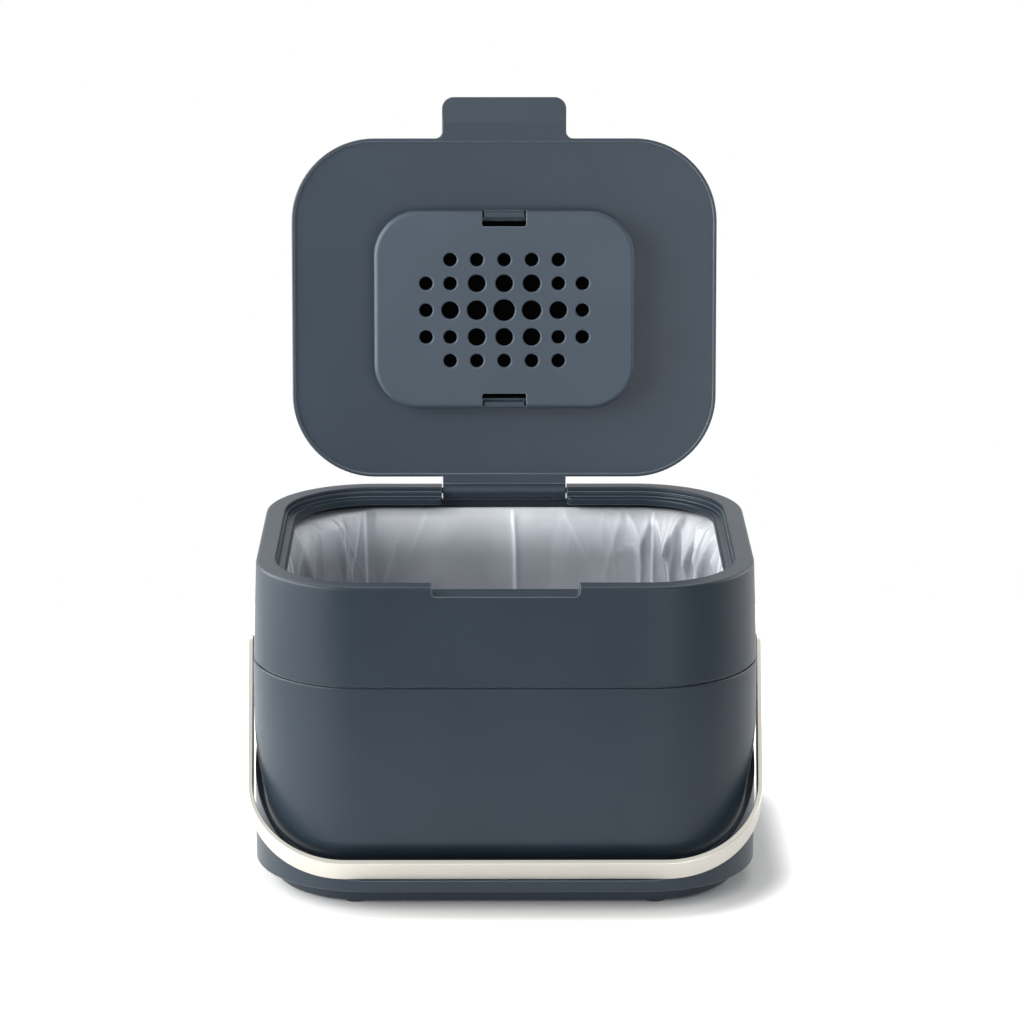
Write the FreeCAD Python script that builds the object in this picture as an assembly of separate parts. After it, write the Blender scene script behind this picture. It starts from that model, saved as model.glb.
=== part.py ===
import FreeCAD, Part
import math
import os

# Food waste caddy: a moulded bucket with a strap handle nested in its lower front,
# a lift-off collar, a hinged lid shown open with a vented odour filter, and a film liner.
# Millimetres, +Z up, front towards -Y, origin on the ground under the middle of the body.

# Bucket: outside, seam under the collar, and the tub inside it
body_width = 244.0
body_depth = 200.0
body_corner = 55.5
shoulder_height = 112.0
band_round = 1.2
seam_gap = 0.8
seam_depth = 1.6
seam_round = 0.7
neck_drop = 12.3
neck_wall = 2.4
neck_gap = 1.4
neck_round = 1.0
floor_thickness = 4.0
tub_draft = 2.0
tub_round = 12.0

# Base plate and feet
plinth_height = 9.0
plinth_inset = 9.5
plinth_round = 1.5
foot_diameter = 12.0
foot_height = 2.4
foot_proud = 1.2
foot_side_margin = 50.0
foot_edge_margin = 2.5

# Collar
collar_height = 48.3
rim_draw_in = 2.0
rim_round = 1.6
rim_flat = 9.5
rim_thickness = 8.0
collar_wall = 3.2
step_drop = 2.3
step_round = 0.6
recess_depth = 4.5
ledge_width = 3.9
ledge_round = 1.0
ledge_end_round = 3.0
tab_notch_gap = 3.2
tab_notch_round = 2.5

# Lid and hinge
lid_open_angle = 98.0
lid_gap = 1.5
lid_clearance = 0.4
lid_thickness = 3.2
lid_edge_height = 4.2
lid_edge_width = 1.6
lid_round = 0.8
tab_width = 63.6
tab_reach = 21.0
tab_tip_round = 6.0
tab_root_round = 3.5
tab_crease = 8.0
tab_tip_height = 2.4
hinge_setback = 7.2
hinge_drop = 3.0
barrel_diameter = 7.6
barrel_length = 63.4
barrel_gap = 0.5
pin_diameter = 3.0
pin_hold = 6.0
pin_clearance = 0.05

# Odour filter under the lid
cover_width = 133.0
cover_depth = 101.0
cover_corner = 23.0
cover_height = 14.0
cover_wall = 2.0
cover_round = 2.5
cover_seat_gap = 0.2
frame_gap = 1.2
frame_wall = 1.8
frame_height = 9.0
clip_notch_width = 22.5
clip_notch_depth = 7.8
clip_notch_round = 1.2
clip_side_gap = 1.2
clip_thickness = 1.8
clip_short = 1.4
clip_set_in = 0.4
clip_lip = 1.4
filter_gap = 1.0
filter_thickness = 7.0
hole_columns = (0.0, 14.0, 27.6, 39.9)
hole_rows = (0.0, 13.7, 25.8)
hole_diameters = (
    (11.0, 9.9, 8.9, 6.8),
    (8.9, 8.9, 6.8, 6.8),
    (6.8, 6.8, 6.8),
)
hole_chamfer = 0.5
vent_length = 34.0
vent_width = 2.4
vent_pitch = 8.0
vent_count = 7

# Handle: a flat strap bent to a U, and its pivots
pivot_drop = 11.1
handle_stand_off = 5.2
bar_lift = 6.7
bar_set_back = 0.3
handle_corner = 48.0
arm_lean = 1.9
strap_width = 13.8
strap_thickness = 2.5
strap_round = 0.4
stud_diameter = 6.0
stud_head_diameter = 9.5
stud_head_thickness = 2.0
stud_clearance = 0.05
stud_head_gap = 0.3
bush_diameter = 9.0
bush_flange_diameter = 13.4
bush_gap = 0.45
bush_depth = 4.6
socket_clearance = 0.6
press_clearance = 0.02

# Nest for the handle in the lower front of the bucket
nest_clearance = 0.4
finger_gap = 7.0
nest_corner_inset = 12.5
nest_lead = 6.9
nest_flare = 10.0
nest_lip_round = 12.0

# Liner of thin film, folded over the bucket's neck
film = 0.5
film_gap = 0.4
liner_hem = 20.0

# Values worked out from the sizes above
tolerance = 0.02
overshoot = 1.0
x_axis = FreeCAD.Vector(1, 0, 0)
body_half_width = body_width / 2
body_half_depth = body_depth / 2
rim_height = shoulder_height + collar_height
neck_height = rim_height - neck_drop
tub_floor = plinth_height + floor_thickness
foot_side = body_half_width - foot_side_margin
pivot_height = shoulder_height - pivot_drop
handle_half_width = body_half_width + handle_stand_off
wall_slope = rim_draw_in / collar_height
rim_inset = rim_draw_in + rim_flat
ledge_inset = rim_inset + lid_gap - lid_clearance
mouth_inset = ledge_inset + ledge_width
room_top = rim_height - rim_thickness
lid_inset = rim_inset + lid_gap
lid_underside = rim_height - lid_thickness
lid_bottom = rim_height - lid_edge_height
hinge_y = body_half_depth - lid_inset + hinge_setback
hinge_z = rim_height - hinge_drop
cover_face = lid_underside - cover_seat_gap - cover_height
frame_width = cover_width - 2 * (cover_wall + frame_gap)
frame_depth = cover_depth - 2 * (cover_wall + frame_gap)
frame_corner = cover_corner - cover_wall - frame_gap

# At rest the strap's lower outer edge lies bar_set_back behind the bucket's front face.
bar_drop = pivot_height - plinth_height - bar_lift
bar_forward = body_half_depth - bar_set_back
bar_distance = math.hypot(bar_drop, bar_forward)
handle_reach = math.sqrt(bar_distance ** 2 - (strap_width / 2) ** 2)
rest_angle = math.atan2(bar_drop, bar_forward) - math.asin(strap_width / 2 / bar_distance)
handle_place = FreeCAD.Placement(
    FreeCAD.Vector(0, 0, pivot_height),
    FreeCAD.Rotation(x_axis, math.degrees(rest_angle)),
)


def line(start, end):
    return Part.LineSegment(start, end).toShape()


def arc(start, middle, end):
    return Part.Arc(start, middle, end).toShape()


def across(point):
    return FreeCAD.Vector(-point.x, point.y, point.z)


# Edges of a rounded rectangle, counter-clockwise; the last one is its front side.
def outline_edges(width, depth, corner, height):
    flat_x = width / 2 - corner
    flat_y = depth / 2 - corner
    bow = corner * math.sqrt(0.5)
    edges = []
    for side_x, side_y in ((1, -1), (1, 1), (-1, 1), (-1, -1)):
        on_y = FreeCAD.Vector(side_x * flat_x, side_y * depth / 2, height)
        on_x = FreeCAD.Vector(side_x * width / 2, side_y * flat_y, height)
        middle = FreeCAD.Vector(side_x * (flat_x + bow), side_y * (flat_y + bow), height)
        start, end = (on_y, on_x) if side_x * side_y < 0 else (on_x, on_y)
        if edges:
            edges.append(line(edges[-1].valueAt(edges[-1].LastParameter), start))
        else:
            first = start
        edges.append(arc(start, middle, end))
    edges.append(line(end, first))
    return edges


def outline(width, depth, corner, height):
    return Part.Wire(outline_edges(width, depth, corner, height))


# The body's plan outline, drawn in by inset on every side.
def body_outline(inset, height):
    return outline(body_width - 2 * inset, body_depth - 2 * inset, body_corner - inset, height)


def upright(wire, top):
    return Part.Face(wire).extrude(FreeCAD.Vector(0, 0, top - wire.BoundBox.ZMin))


# Solid with the body's plan whose inset changes evenly from bottom to top.
def leaning(inset_at, bottom, top):
    wires = [body_outline(inset_at(bottom), bottom), body_outline(inset_at(top), top)]
    return Part.makeLoft(wires, True, True)


def collar_inside(height):
    return collar_wall + wall_slope * (height - shoulder_height)


def collar_outside(height):
    return collar_inside(height) - collar_wall


def neck_outside(height):
    return collar_inside(height) + neck_gap


def tub_inside(height):
    lean = math.tan(math.radians(tub_draft))
    return neck_outside(neck_height) + neck_wall + lean * (neck_height - height)


# How far a point lies inside the body's plan outline.
def plan_inset(point):
    over_x = abs(point.x) - (body_half_width - body_corner)
    over_y = abs(point.y) - (body_half_depth - body_corner)
    return body_corner - math.hypot(max(over_x, 0), max(over_y, 0)) - min(max(over_x, over_y), 0)


def middle_of(edge):
    return edge.valueAt((edge.FirstParameter + edge.LastParameter) / 2)


def level_edges(shape, height):
    found = []
    for edge in shape.Edges:
        span = edge.BoundBox
        if abs(span.ZMin - height) < tolerance and abs(span.ZMax - height) < tolerance:
            found.append(edge)
    return found


def ring_edges(shape, inset, height):
    return [edge for edge in level_edges(shape, height)
            if abs(plan_inset(middle_of(edge)) - inset) < tolerance]


def box(x_size, y_low, y_high, z_low, z_high):
    corner = FreeCAD.Vector(-x_size / 2, y_low, z_low)
    return Part.makeBox(x_size, y_high - y_low, z_high - z_low, corner)


def edges_along(shape, direction, keep):
    found = []
    for edge in shape.Edges:
        ends = edge.valueAt(edge.LastParameter) - edge.valueAt(edge.FirstParameter)
        if abs(ends.normalize().dot(direction)) > 1 - tolerance and keep(middle_of(edge)):
            found.append(edge)
    return found


def rod(diameter, x_low, x_high, y, z):
    return Part.makeCylinder(diameter / 2, x_high - x_low, FreeCAD.Vector(x_low, y, z), x_axis)


def mirrored(shape):
    return shape.mirror(FreeCAD.Vector(0, 0, 0), x_axis)


# Space around the resting strap, in the handle's own plane: a shelf under the strap's lower edge
# and a floor a finger's depth behind it, flared at both ends. On the shelf it runs out of the side
# walls nest_lead behind the start of the front corners.
def nest_space():
    corner = body_corner - nest_corner_inset
    flare = math.radians(nest_flare)
    floor = handle_reach - strap_thickness - finger_gap
    shelf = strap_width / 2 + nest_clearance
    exit_y = body_half_depth - body_corner - nest_lead
    exit_at = (exit_y + shelf * math.sin(rest_angle)) / math.cos(rest_angle)
    flared_at = floor - corner * (1 - math.sin(flare))
    flared_x = body_half_width - (flared_at - exit_at) * math.tan(flare)
    centre_x = flared_x - corner * math.cos(flare)
    halfway = (flare + math.pi / 2) / 2
    far = body_width
    outside = FreeCAD.Vector(body_half_width + exit_at * math.tan(flare), 0, 0)
    flared = FreeCAD.Vector(flared_x, -flared_at, 0)
    bend = FreeCAD.Vector(
        centre_x + corner * math.cos(halfway),
        corner * (1 - math.sin(halfway)) - floor,
        0,
    )
    front = FreeCAD.Vector(centre_x, -floor, 0)
    wide = FreeCAD.Vector(far, 0, 0)
    wide_front = FreeCAD.Vector(far, -far, 0)
    edges = [
        line(outside, flared),
        arc(flared, bend, front),
        line(front, across(front)),
        arc(across(front), across(bend), across(flared)),
        line(across(flared), across(outside)),
        line(across(outside), across(wide)),
        line(across(wide), across(wide_front)),
        line(across(wide_front), wide_front),
        line(wide_front, wide),
        line(wide, outside),
    ]
    space = Part.Face(Part.Wire(edges)).extrude(FreeCAD.Vector(0, 0, far))
    space.translate(FreeCAD.Vector(0, 0, -shelf))
    space.Placement = handle_place.multiply(space.Placement)
    return space


# Edges where the nest's floor breaks through the outer wall above its shelf.
def lip_edges(shape, space):
    into_handle = handle_place.inverse()
    found = []
    for edge in shape.Edges:
        middle = middle_of(edge)
        above_shelf = into_handle.multVec(middle).z + strap_width / 2 + nest_clearance > tolerance
        on_wall = abs(plan_inset(middle)) < tolerance
        if above_shelf and on_wall and space.distToShape(Part.Vertex(middle))[0] < tolerance:
            found.append(edge)
    return found


def tub_space():
    space = leaning(tub_inside, tub_floor, neck_height + overshoot)
    return space.makeFillet(tub_round, level_edges(space, tub_floor))


# Bore for the bush and a wider chamber behind it for the stud's head.
def pivot_socket():
    bush_end = body_half_width - bush_depth
    chamber = stud_head_gap + stud_head_thickness + socket_clearance
    bore = rod(
        bush_diameter + 2 * press_clearance, bush_end, body_half_width + overshoot, 0, pivot_height
    )
    pocket = rod(
        stud_head_diameter + 2 * socket_clearance, bush_end - chamber, bush_end, 0, pivot_height
    )
    return bore.fuse(pocket)


def make_bucket():
    lower_top = shoulder_height - seam_gap
    lower = upright(body_outline(0, plinth_height), lower_top)
    lower = lower.makeFillet(band_round, level_edges(lower, plinth_height))
    lower = lower.makeFillet(seam_round, level_edges(lower, lower_top))
    space = nest_space()
    lower = lower.cut(space)
    lower = lower.makeFillet(nest_lip_round, lip_edges(lower, space))
    land = upright(body_outline(seam_depth, lower_top), shoulder_height)
    neck = leaning(neck_outside, shoulder_height, neck_height)
    neck = neck.makeFillet(neck_round, level_edges(neck, neck_height))
    bucket = lower.fuse([land, neck]).cut(tub_space())
    bucket = bucket.makeFillet(neck_round, ring_edges(bucket, tub_inside(neck_height), neck_height))
    socket = pivot_socket()
    return bucket.cut([socket, mirrored(socket)])


def foot_spots():
    foot_y = body_half_depth - plinth_inset - foot_edge_margin - foot_diameter / 2
    return {
        "front_left": (-foot_side, -foot_y),
        "front_right": (foot_side, -foot_y),
        "rear_left": (-foot_side, foot_y),
        "rear_right": (foot_side, foot_y),
    }


def disc(diameter, place, bottom, top):
    return Part.makeCylinder(diameter / 2, top - bottom, FreeCAD.Vector(place[0], place[1], bottom))


def make_base_plate():
    plate = upright(body_outline(plinth_inset, foot_proud), plinth_height)
    plate = plate.makeFillet(plinth_round, level_edges(plate, foot_proud))
    seat = foot_diameter + 2 * press_clearance
    return plate.cut([disc(seat, place, 0, foot_height) for place in foot_spots().values()])


def make_foot(place):
    return disc(foot_diameter, place, 0, foot_height)


# Notch at the front of the rim that the lid's tab lies in.
def tab_notch():
    floor = rim_height - recess_depth
    inner = -(body_half_depth - ledge_inset)
    notch = box(
        tab_width + 2 * tab_notch_gap, -body_half_depth - overshoot, inner, floor, rim_height + overshoot
    )
    along_y = FreeCAD.Vector(0, 1, 0)
    low_edges = edges_along(notch, along_y, lambda middle: middle.z < rim_height - tolerance)
    return notch.makeFillet(tab_notch_round, low_edges)


# Notch at the back of the rim for the hinge's barrel; it rounds off the ends of the ledge.
def hinge_notch():
    half = barrel_length / 2 + barrel_gap
    mouth_y = body_half_depth - mouth_inset
    low = room_top - overshoot
    high = rim_height + overshoot
    notch = box(2 * half, mouth_y - overshoot, body_half_depth + overshoot, room_top, high)
    ends = box(2 * (half + ledge_end_round), mouth_y - overshoot, mouth_y + ledge_end_round, low, high)
    for side in (1, -1):
        centre = (side * (half + ledge_end_round), mouth_y + ledge_end_round)
        ends = ends.cut(disc(2 * ledge_end_round, centre, low, high))
    return notch.fuse(ends)


def make_collar():
    collar = leaning(collar_outside, shoulder_height, rim_height)
    collar = collar.makeFillet(seam_round, level_edges(collar, shoulder_height))
    collar = collar.makeFillet(rim_round, level_edges(collar, rim_height))
    collar = collar.cut([
        leaning(collar_inside, shoulder_height - overshoot, room_top),
        upright(body_outline(rim_inset, rim_height - step_drop), rim_height + overshoot),
        upright(body_outline(ledge_inset, rim_height - recess_depth), rim_height + overshoot),
        upright(body_outline(mouth_inset, room_top - overshoot), rim_height + overshoot),
    ])
    collar = collar.makeFillet(step_round, ring_edges(collar, rim_inset, rim_height))
    collar = collar.makeFillet(step_round, ring_edges(collar, ledge_inset, rim_height - step_drop))
    collar = collar.makeFillet(ledge_round, ring_edges(collar, mouth_inset, rim_height - recess_depth))
    pin_end = barrel_length / 2 + barrel_gap + pin_hold
    pin_bore = rod(pin_diameter + 2 * press_clearance, -pin_end, pin_end, hinge_y, hinge_z)
    return collar.cut([tab_notch(), hinge_notch(), pin_bore])


def make_hinge_pin():
    pin_end = barrel_length / 2 + barrel_gap + pin_hold - press_clearance
    return rod(pin_diameter, -pin_end, pin_end, hinge_y, hinge_z)


# The lid's outline with its finger tab at the front, as one closed wire.
def lid_outline(height):
    width = body_width - 2 * lid_inset
    depth = body_depth - 2 * lid_inset
    edges = outline_edges(width, depth, body_corner - lid_inset, height)[:-1]
    front = -depth / 2
    tip = front - tab_reach
    root_bow = tab_root_round * (1 - math.sqrt(0.5))
    tip_bow = tab_tip_round * (1 - math.sqrt(0.5))
    right = [
        FreeCAD.Vector(width / 2 - body_corner + lid_inset, front, height),
        FreeCAD.Vector(tab_width / 2 + tab_root_round, front, height),
        FreeCAD.Vector(tab_width / 2 + root_bow, front - root_bow, height),
        FreeCAD.Vector(tab_width / 2, front - tab_root_round, height),
        FreeCAD.Vector(tab_width / 2, tip + tab_tip_round, height),
        FreeCAD.Vector(tab_width / 2 - tip_bow, tip + tip_bow, height),
        FreeCAD.Vector(tab_width / 2 - tab_tip_round, tip, height),
    ]
    left = [across(point) for point in right]
    edges += [
        line(left[0], left[1]),
        arc(left[1], left[2], left[3]),
        line(left[3], left[4]),
        arc(left[4], left[5], left[6]),
        line(left[6], right[6]),
        arc(right[6], right[5], right[4]),
        line(right[4], right[3]),
        arc(right[3], right[2], right[1]),
        line(right[1], right[0]),
    ]
    return Part.Wire(edges)


# Wedge taken off the underside of the tab, from its crease to its tip.
def tab_wedge():
    crease_y = lid_inset - body_half_depth - tab_crease
    tip_y = lid_inset - body_half_depth - tab_reach
    slope = (tab_tip_height - lid_edge_height) / (tab_reach - tab_crease)
    beyond = tip_y - overshoot
    corners = [
        FreeCAD.Vector(-tab_width, crease_y, lid_bottom),
        FreeCAD.Vector(-tab_width, beyond, lid_bottom + slope * (beyond - crease_y)),
        FreeCAD.Vector(-tab_width, beyond, lid_bottom - overshoot),
        FreeCAD.Vector(-tab_width, crease_y, lid_bottom - overshoot),
    ]
    wire = Part.makePolygon(corners + corners[:1])
    return Part.Face(wire).extrude(FreeCAD.Vector(2 * tab_width, 0, 0))


# Snap clip that stands in the notch of the filter cover's front or rear wall.
def filter_clip():
    outer = cover_depth / 2 - clip_set_in
    width = clip_notch_width - 2 * clip_side_gap
    tip = cover_face + clip_short
    blade = box(width, outer - clip_thickness, outer, tip, lid_underside)
    lip = box(width, outer - clip_thickness - clip_lip, outer, tip, tip + clip_thickness)
    clip = blade.fuse(lip).removeSplitter()
    ends = edges_along(clip, x_axis, lambda middle: middle.z < tip + tolerance)
    return clip.makeFillet(clip_thickness / 3, ends)


def filter_frame():
    bottom = lid_underside - frame_height
    wall = upright(outline(frame_width, frame_depth, frame_corner, bottom), lid_underside)
    inside = outline(
        frame_width - 2 * frame_wall, frame_depth - 2 * frame_wall, frame_corner - frame_wall, bottom
    )
    return wall.cut(upright(inside, lid_underside))


def vent_slots():
    slot = upright(
        outline(vent_width, vent_length, vent_width / 2 - tolerance, lid_underside - overshoot),
        rim_height + overshoot,
    )
    slots = []
    for number in range(vent_count):
        copy = slot.copy()
        copy.translate(FreeCAD.Vector((number - (vent_count - 1) / 2) * vent_pitch, 0, 0))
        slots.append(copy)
    return slots


# The lid is drawn closed; opened() then turns it about the hinge.
def make_lid():
    lid = upright(lid_outline(lid_bottom), rim_height)
    lid = lid.makeFillet(lid_round, level_edges(lid, rim_height))
    lid = lid.makeFillet(lid_round, level_edges(lid, lid_bottom))
    underside = upright(body_outline(lid_inset + lid_edge_width, lid_bottom - overshoot), lid_underside)
    lid = lid.cut([underside, tab_wedge()])
    rear = body_half_depth - lid_inset
    web = box(barrel_length, rear - lid_edge_width, hinge_y, lid_bottom, rim_height)
    barrel = rod(barrel_diameter, -barrel_length / 2, barrel_length / 2, hinge_y, hinge_z)
    clip = filter_clip()
    rear_clip = clip.mirror(FreeCAD.Vector(0, 0, 0), FreeCAD.Vector(0, 1, 0))
    lid = lid.fuse([web, barrel, filter_frame(), clip, rear_clip])
    bore = rod(pin_diameter + 2 * pin_clearance, -barrel_length, barrel_length, hinge_y, hinge_z)
    return lid.cut([bore] + vent_slots()).removeSplitter()


def opened(shape):
    turned = shape.copy()
    turned.rotate(FreeCAD.Vector(0, hinge_y, hinge_z), x_axis, -lid_open_angle)
    return turned


def cover_holes():
    holes = []
    for row, diameters in zip(hole_rows, hole_diameters):
        for column, diameter in zip(hole_columns, diameters):
            for x in {column, -column}:
                for y in {row, -row}:
                    radius = diameter / 2
                    foot = FreeCAD.Vector(x, y, cover_face)
                    holes.append(Part.makeCylinder(radius, cover_wall + overshoot, foot))
                    holes.append(Part.makeCone(radius + hole_chamfer, radius, hole_chamfer, foot))
    return holes


def clip_notches():
    inner = cover_depth / 2 - clip_notch_depth
    notch = box(clip_notch_width, inner, cover_depth, cover_face - overshoot, lid_underside)
    up = FreeCAD.Vector(0, 0, 1)
    inner_edges = edges_along(notch, up, lambda middle: middle.y < cover_depth / 2)
    notch = notch.makeFillet(clip_notch_round, inner_edges)
    return [notch, notch.mirror(FreeCAD.Vector(0, 0, 0), FreeCAD.Vector(0, 1, 0))]


def make_filter_cover():
    top = cover_face + cover_height
    cover = upright(outline(cover_width, cover_depth, cover_corner, cover_face), top)
    cover = cover.makeFillet(cover_round, level_edges(cover, cover_face))
    inside = outline(
        cover_width - 2 * cover_wall,
        cover_depth - 2 * cover_wall,
        cover_corner - cover_wall,
        cover_face + cover_wall,
    )
    return cover.cut([upright(inside, top + overshoot)] + cover_holes() + clip_notches())


def make_carbon_filter():
    inset = frame_wall + filter_gap
    bottom = cover_face + cover_wall
    wire = outline(frame_width - 2 * inset, frame_depth - 2 * inset, frame_corner - inset, bottom)
    return upright(wire, bottom + filter_thickness)


# One long face of the strap, offset inward from its outside, from its right end to its left.
def strap_path(inward):
    lean = math.radians(arm_lean)
    centre_y = handle_corner - handle_reach
    centre_x = handle_half_width - (handle_corner - math.sin(lean) * centre_y) / math.cos(lean)
    outward = FreeCAD.Vector(math.cos(lean), -math.sin(lean), 0)
    upward = FreeCAD.Vector(math.sin(lean), math.cos(lean), 0)
    centre = FreeCAD.Vector(centre_x, centre_y, 0)
    radius = handle_corner - inward
    halfway = (lean + math.pi / 2) / 2
    pivot = FreeCAD.Vector(handle_half_width, 0, 0) - outward * inward
    end = pivot + upward * strap_width
    tangent = centre + outward * radius
    bend = centre + FreeCAD.Vector(math.cos(halfway), -math.sin(halfway), 0) * radius
    front = centre + FreeCAD.Vector(0, -1, 0) * radius
    return end, [
        line(end, tangent),
        arc(tangent, bend, front),
        line(front, across(front)),
        arc(across(front), across(bend), across(tangent)),
        line(across(tangent), across(end)),
    ]


def make_strap():
    outer_end, outer = strap_path(0)
    inner_end, inner = strap_path(strap_thickness)
    ends = [line(outer_end, inner_end), line(across(outer_end), across(inner_end))]
    wire = Part.Wire(Part.__sortEdges__(outer + inner + ends))
    band = Part.Face(wire).extrude(FreeCAD.Vector(0, 0, strap_width))
    band.translate(FreeCAD.Vector(0, 0, -strap_width / 2))
    span = handle_half_width + strap_width
    rounded = rod(strap_width, -span, span, 0, 0)
    rounded = rounded.fuse(box(2 * span, -handle_reach - overshoot, 0, -strap_width / 2, strap_width / 2))
    strap = band.common(rounded.removeSplitter()).removeSplitter()
    hole = rod(stud_diameter + 2 * press_clearance, -span, span, 0, 0)
    strap = strap.makeFillet(strap_round, long_edges(strap)).cut(hole)
    strap.Placement = handle_place.multiply(strap.Placement)
    return strap


# The strap's edges other than the short ones across its thickness and the seams across its faces.
def long_edges(strap):
    def at_border(point):
        return math.hypot(max(point.y, 0), point.z) > strap_width / 2 - tolerance

    found = []
    for edge in strap.Edges:
        on_border = at_border(middle_of(edge)) and at_border(edge.valueAt(edge.FirstParameter))
        if on_border and edge.Length > 2 * strap_thickness:
            found.append(edge)
    return found


def make_stud():
    head_end = body_half_width - bush_depth - stud_head_gap
    head = rod(stud_head_diameter, head_end - stud_head_thickness, head_end, 0, pivot_height)
    return head.fuse(rod(stud_diameter, head_end, handle_half_width, 0, pivot_height))


def make_bush():
    flange_face = handle_half_width - strap_thickness - bush_gap
    flange = rod(bush_flange_diameter, body_half_width, flange_face, 0, pivot_height)
    sleeve = rod(bush_diameter, body_half_width - bush_depth, body_half_width, 0, pivot_height)
    bore = rod(stud_diameter + 2 * stud_clearance, 0, body_width, 0, pivot_height)
    return flange.fuse(sleeve).cut(bore)


def bag_outside(height):
    return tub_inside(height) + film_gap


def bag_inside(height):
    return bag_outside(height) + film


def hem_inside(height):
    return neck_outside(height) - film_gap


def hem_outside(height):
    return hem_inside(height) - film


# Bag inside the tub, a fold over the neck's rim and a hem outside it, under the collar.
def make_liner():
    hem_bottom = neck_height - liner_hem
    fold = neck_height + film_gap
    top = fold + film
    bottom = tub_floor + film_gap
    hood = leaning(hem_outside, hem_bottom, top)
    hood = hood.cut(leaning(hem_inside, hem_bottom - overshoot, fold))
    bag = leaning(bag_outside, bottom, top)
    bag = bag.makeFillet(tub_round - film_gap, level_edges(bag, bottom))
    mouth = leaning(bag_inside, bottom + film, top + overshoot)
    mouth = mouth.makeFillet(tub_round - film_gap - film, level_edges(mouth, bottom + film))
    return hood.fuse(bag).cut(mouth)


stud = make_stud()
bush = make_bush()
pieces = {
    "bucket": make_bucket(),
    "base_plate": make_base_plate(),
    "liner": make_liner(),
    "collar": make_collar(),
    "hinge_pin": make_hinge_pin(),
    "lid": opened(make_lid()),
    "filter_cover": opened(make_filter_cover()),
    "carbon_filter": opened(make_carbon_filter()),
    "handle_strap": make_strap(),
    "pivot_stud_right": stud,
    "pivot_stud_left": mirrored(stud),
    "pivot_bush_right": bush,
    "pivot_bush_left": mirrored(bush),
}
for spot, place in foot_spots().items():
    pieces["foot_" + spot] = make_foot(place)

os.makedirs("parts", exist_ok=True)
for name, shape in pieces.items():
    shape.exportStep("parts/" + name + ".step")
    print(name, shape.isValid(), len(shape.Solids), round(shape.Volume / 1000, 2), "cm3")
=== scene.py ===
import math

import bpy
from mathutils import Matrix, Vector, noise


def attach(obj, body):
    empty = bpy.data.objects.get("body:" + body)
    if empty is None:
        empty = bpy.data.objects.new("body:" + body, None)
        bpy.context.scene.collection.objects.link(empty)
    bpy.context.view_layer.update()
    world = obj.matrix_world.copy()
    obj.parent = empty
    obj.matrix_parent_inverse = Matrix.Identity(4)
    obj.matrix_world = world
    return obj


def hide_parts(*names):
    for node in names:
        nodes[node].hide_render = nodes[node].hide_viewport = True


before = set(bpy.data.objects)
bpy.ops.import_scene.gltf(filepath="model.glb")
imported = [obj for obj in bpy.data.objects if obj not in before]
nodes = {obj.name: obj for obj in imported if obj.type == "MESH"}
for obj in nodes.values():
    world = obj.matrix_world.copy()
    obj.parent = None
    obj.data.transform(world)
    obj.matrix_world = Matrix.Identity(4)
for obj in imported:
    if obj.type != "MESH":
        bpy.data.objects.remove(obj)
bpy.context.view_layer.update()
scene = bpy.context.scene
mm = 0.001
print("frame loaded:", len(nodes), "CAD nodes")


# Small helpers

def linear(hexColor):  # sRGB hex to the linear colour that a shader socket takes
    parts = [int(hexColor[i:i + 2], 16) / 255 for i in (1, 3, 5)]
    return tuple(c / 12.92 if c <= 0.04045 else ((c + 0.055) / 1.055) ** 2.4 for c in parts) + (1.0,)


def addNode(tree, kind, settings, links):  # one node with its values, then its inputs' links
    node = tree.nodes.new(kind)
    for name, value in settings.items():
        if isinstance(name, int) or name in node.inputs:
            node.inputs[name].default_value = value
        else:
            setattr(node, name, value)
    for socket, source in links.items():
        tree.links.new(source, node.inputs[socket])
    return node


def newMaterial(name):
    material = bpy.data.materials.new(name)
    material.use_nodes = True
    material.node_tree.nodes.clear()
    return material, material.node_tree


def perMetre(sizeMm):  # texture scale for a feature of that size
    return 1 / (sizeMm * mm)


def dress(names, material):
    for name in names:
        nodes[name].material_slots[0].material = material


# Camera at the photograph's angle

cameraView = {
    "focalPixels": 3876.5,
    "imagePixels": 1024,
    "sensorMm": 36.0,
    "distance": 1.9098,
    "elevation": 14.977,
    "azimuth": -0.176,
    "aimHeight": 0.1709,
    "leftPixels": 7.17,  # the object stands this far left of the image's middle
}


def makeCamera(view):
    data = bpy.data.cameras.new("photoCamera")
    data.sensor_width = view["sensorMm"]
    data.lens = view["focalPixels"] / view["imagePixels"] * view["sensorMm"]
    data.shift_x = view["leftPixels"] / view["imagePixels"]
    camera = bpy.data.objects.new("photoCamera", data)
    scene.collection.objects.link(camera)
    lift, turn = math.radians(view["elevation"]), math.radians(view["azimuth"])
    back = Vector((math.sin(turn) * math.cos(lift), -math.cos(turn) * math.cos(lift), math.sin(lift)))
    camera.location = Vector((0, 0, view["aimHeight"])) + back * view["distance"]
    camera.rotation_mode = "QUATERNION"
    camera.rotation_quaternion = (-back).to_track_quat("-Z", "Y")
    scene.camera = camera


makeCamera(cameraView)
print("camera placed")


# Moulded plastics

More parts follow.
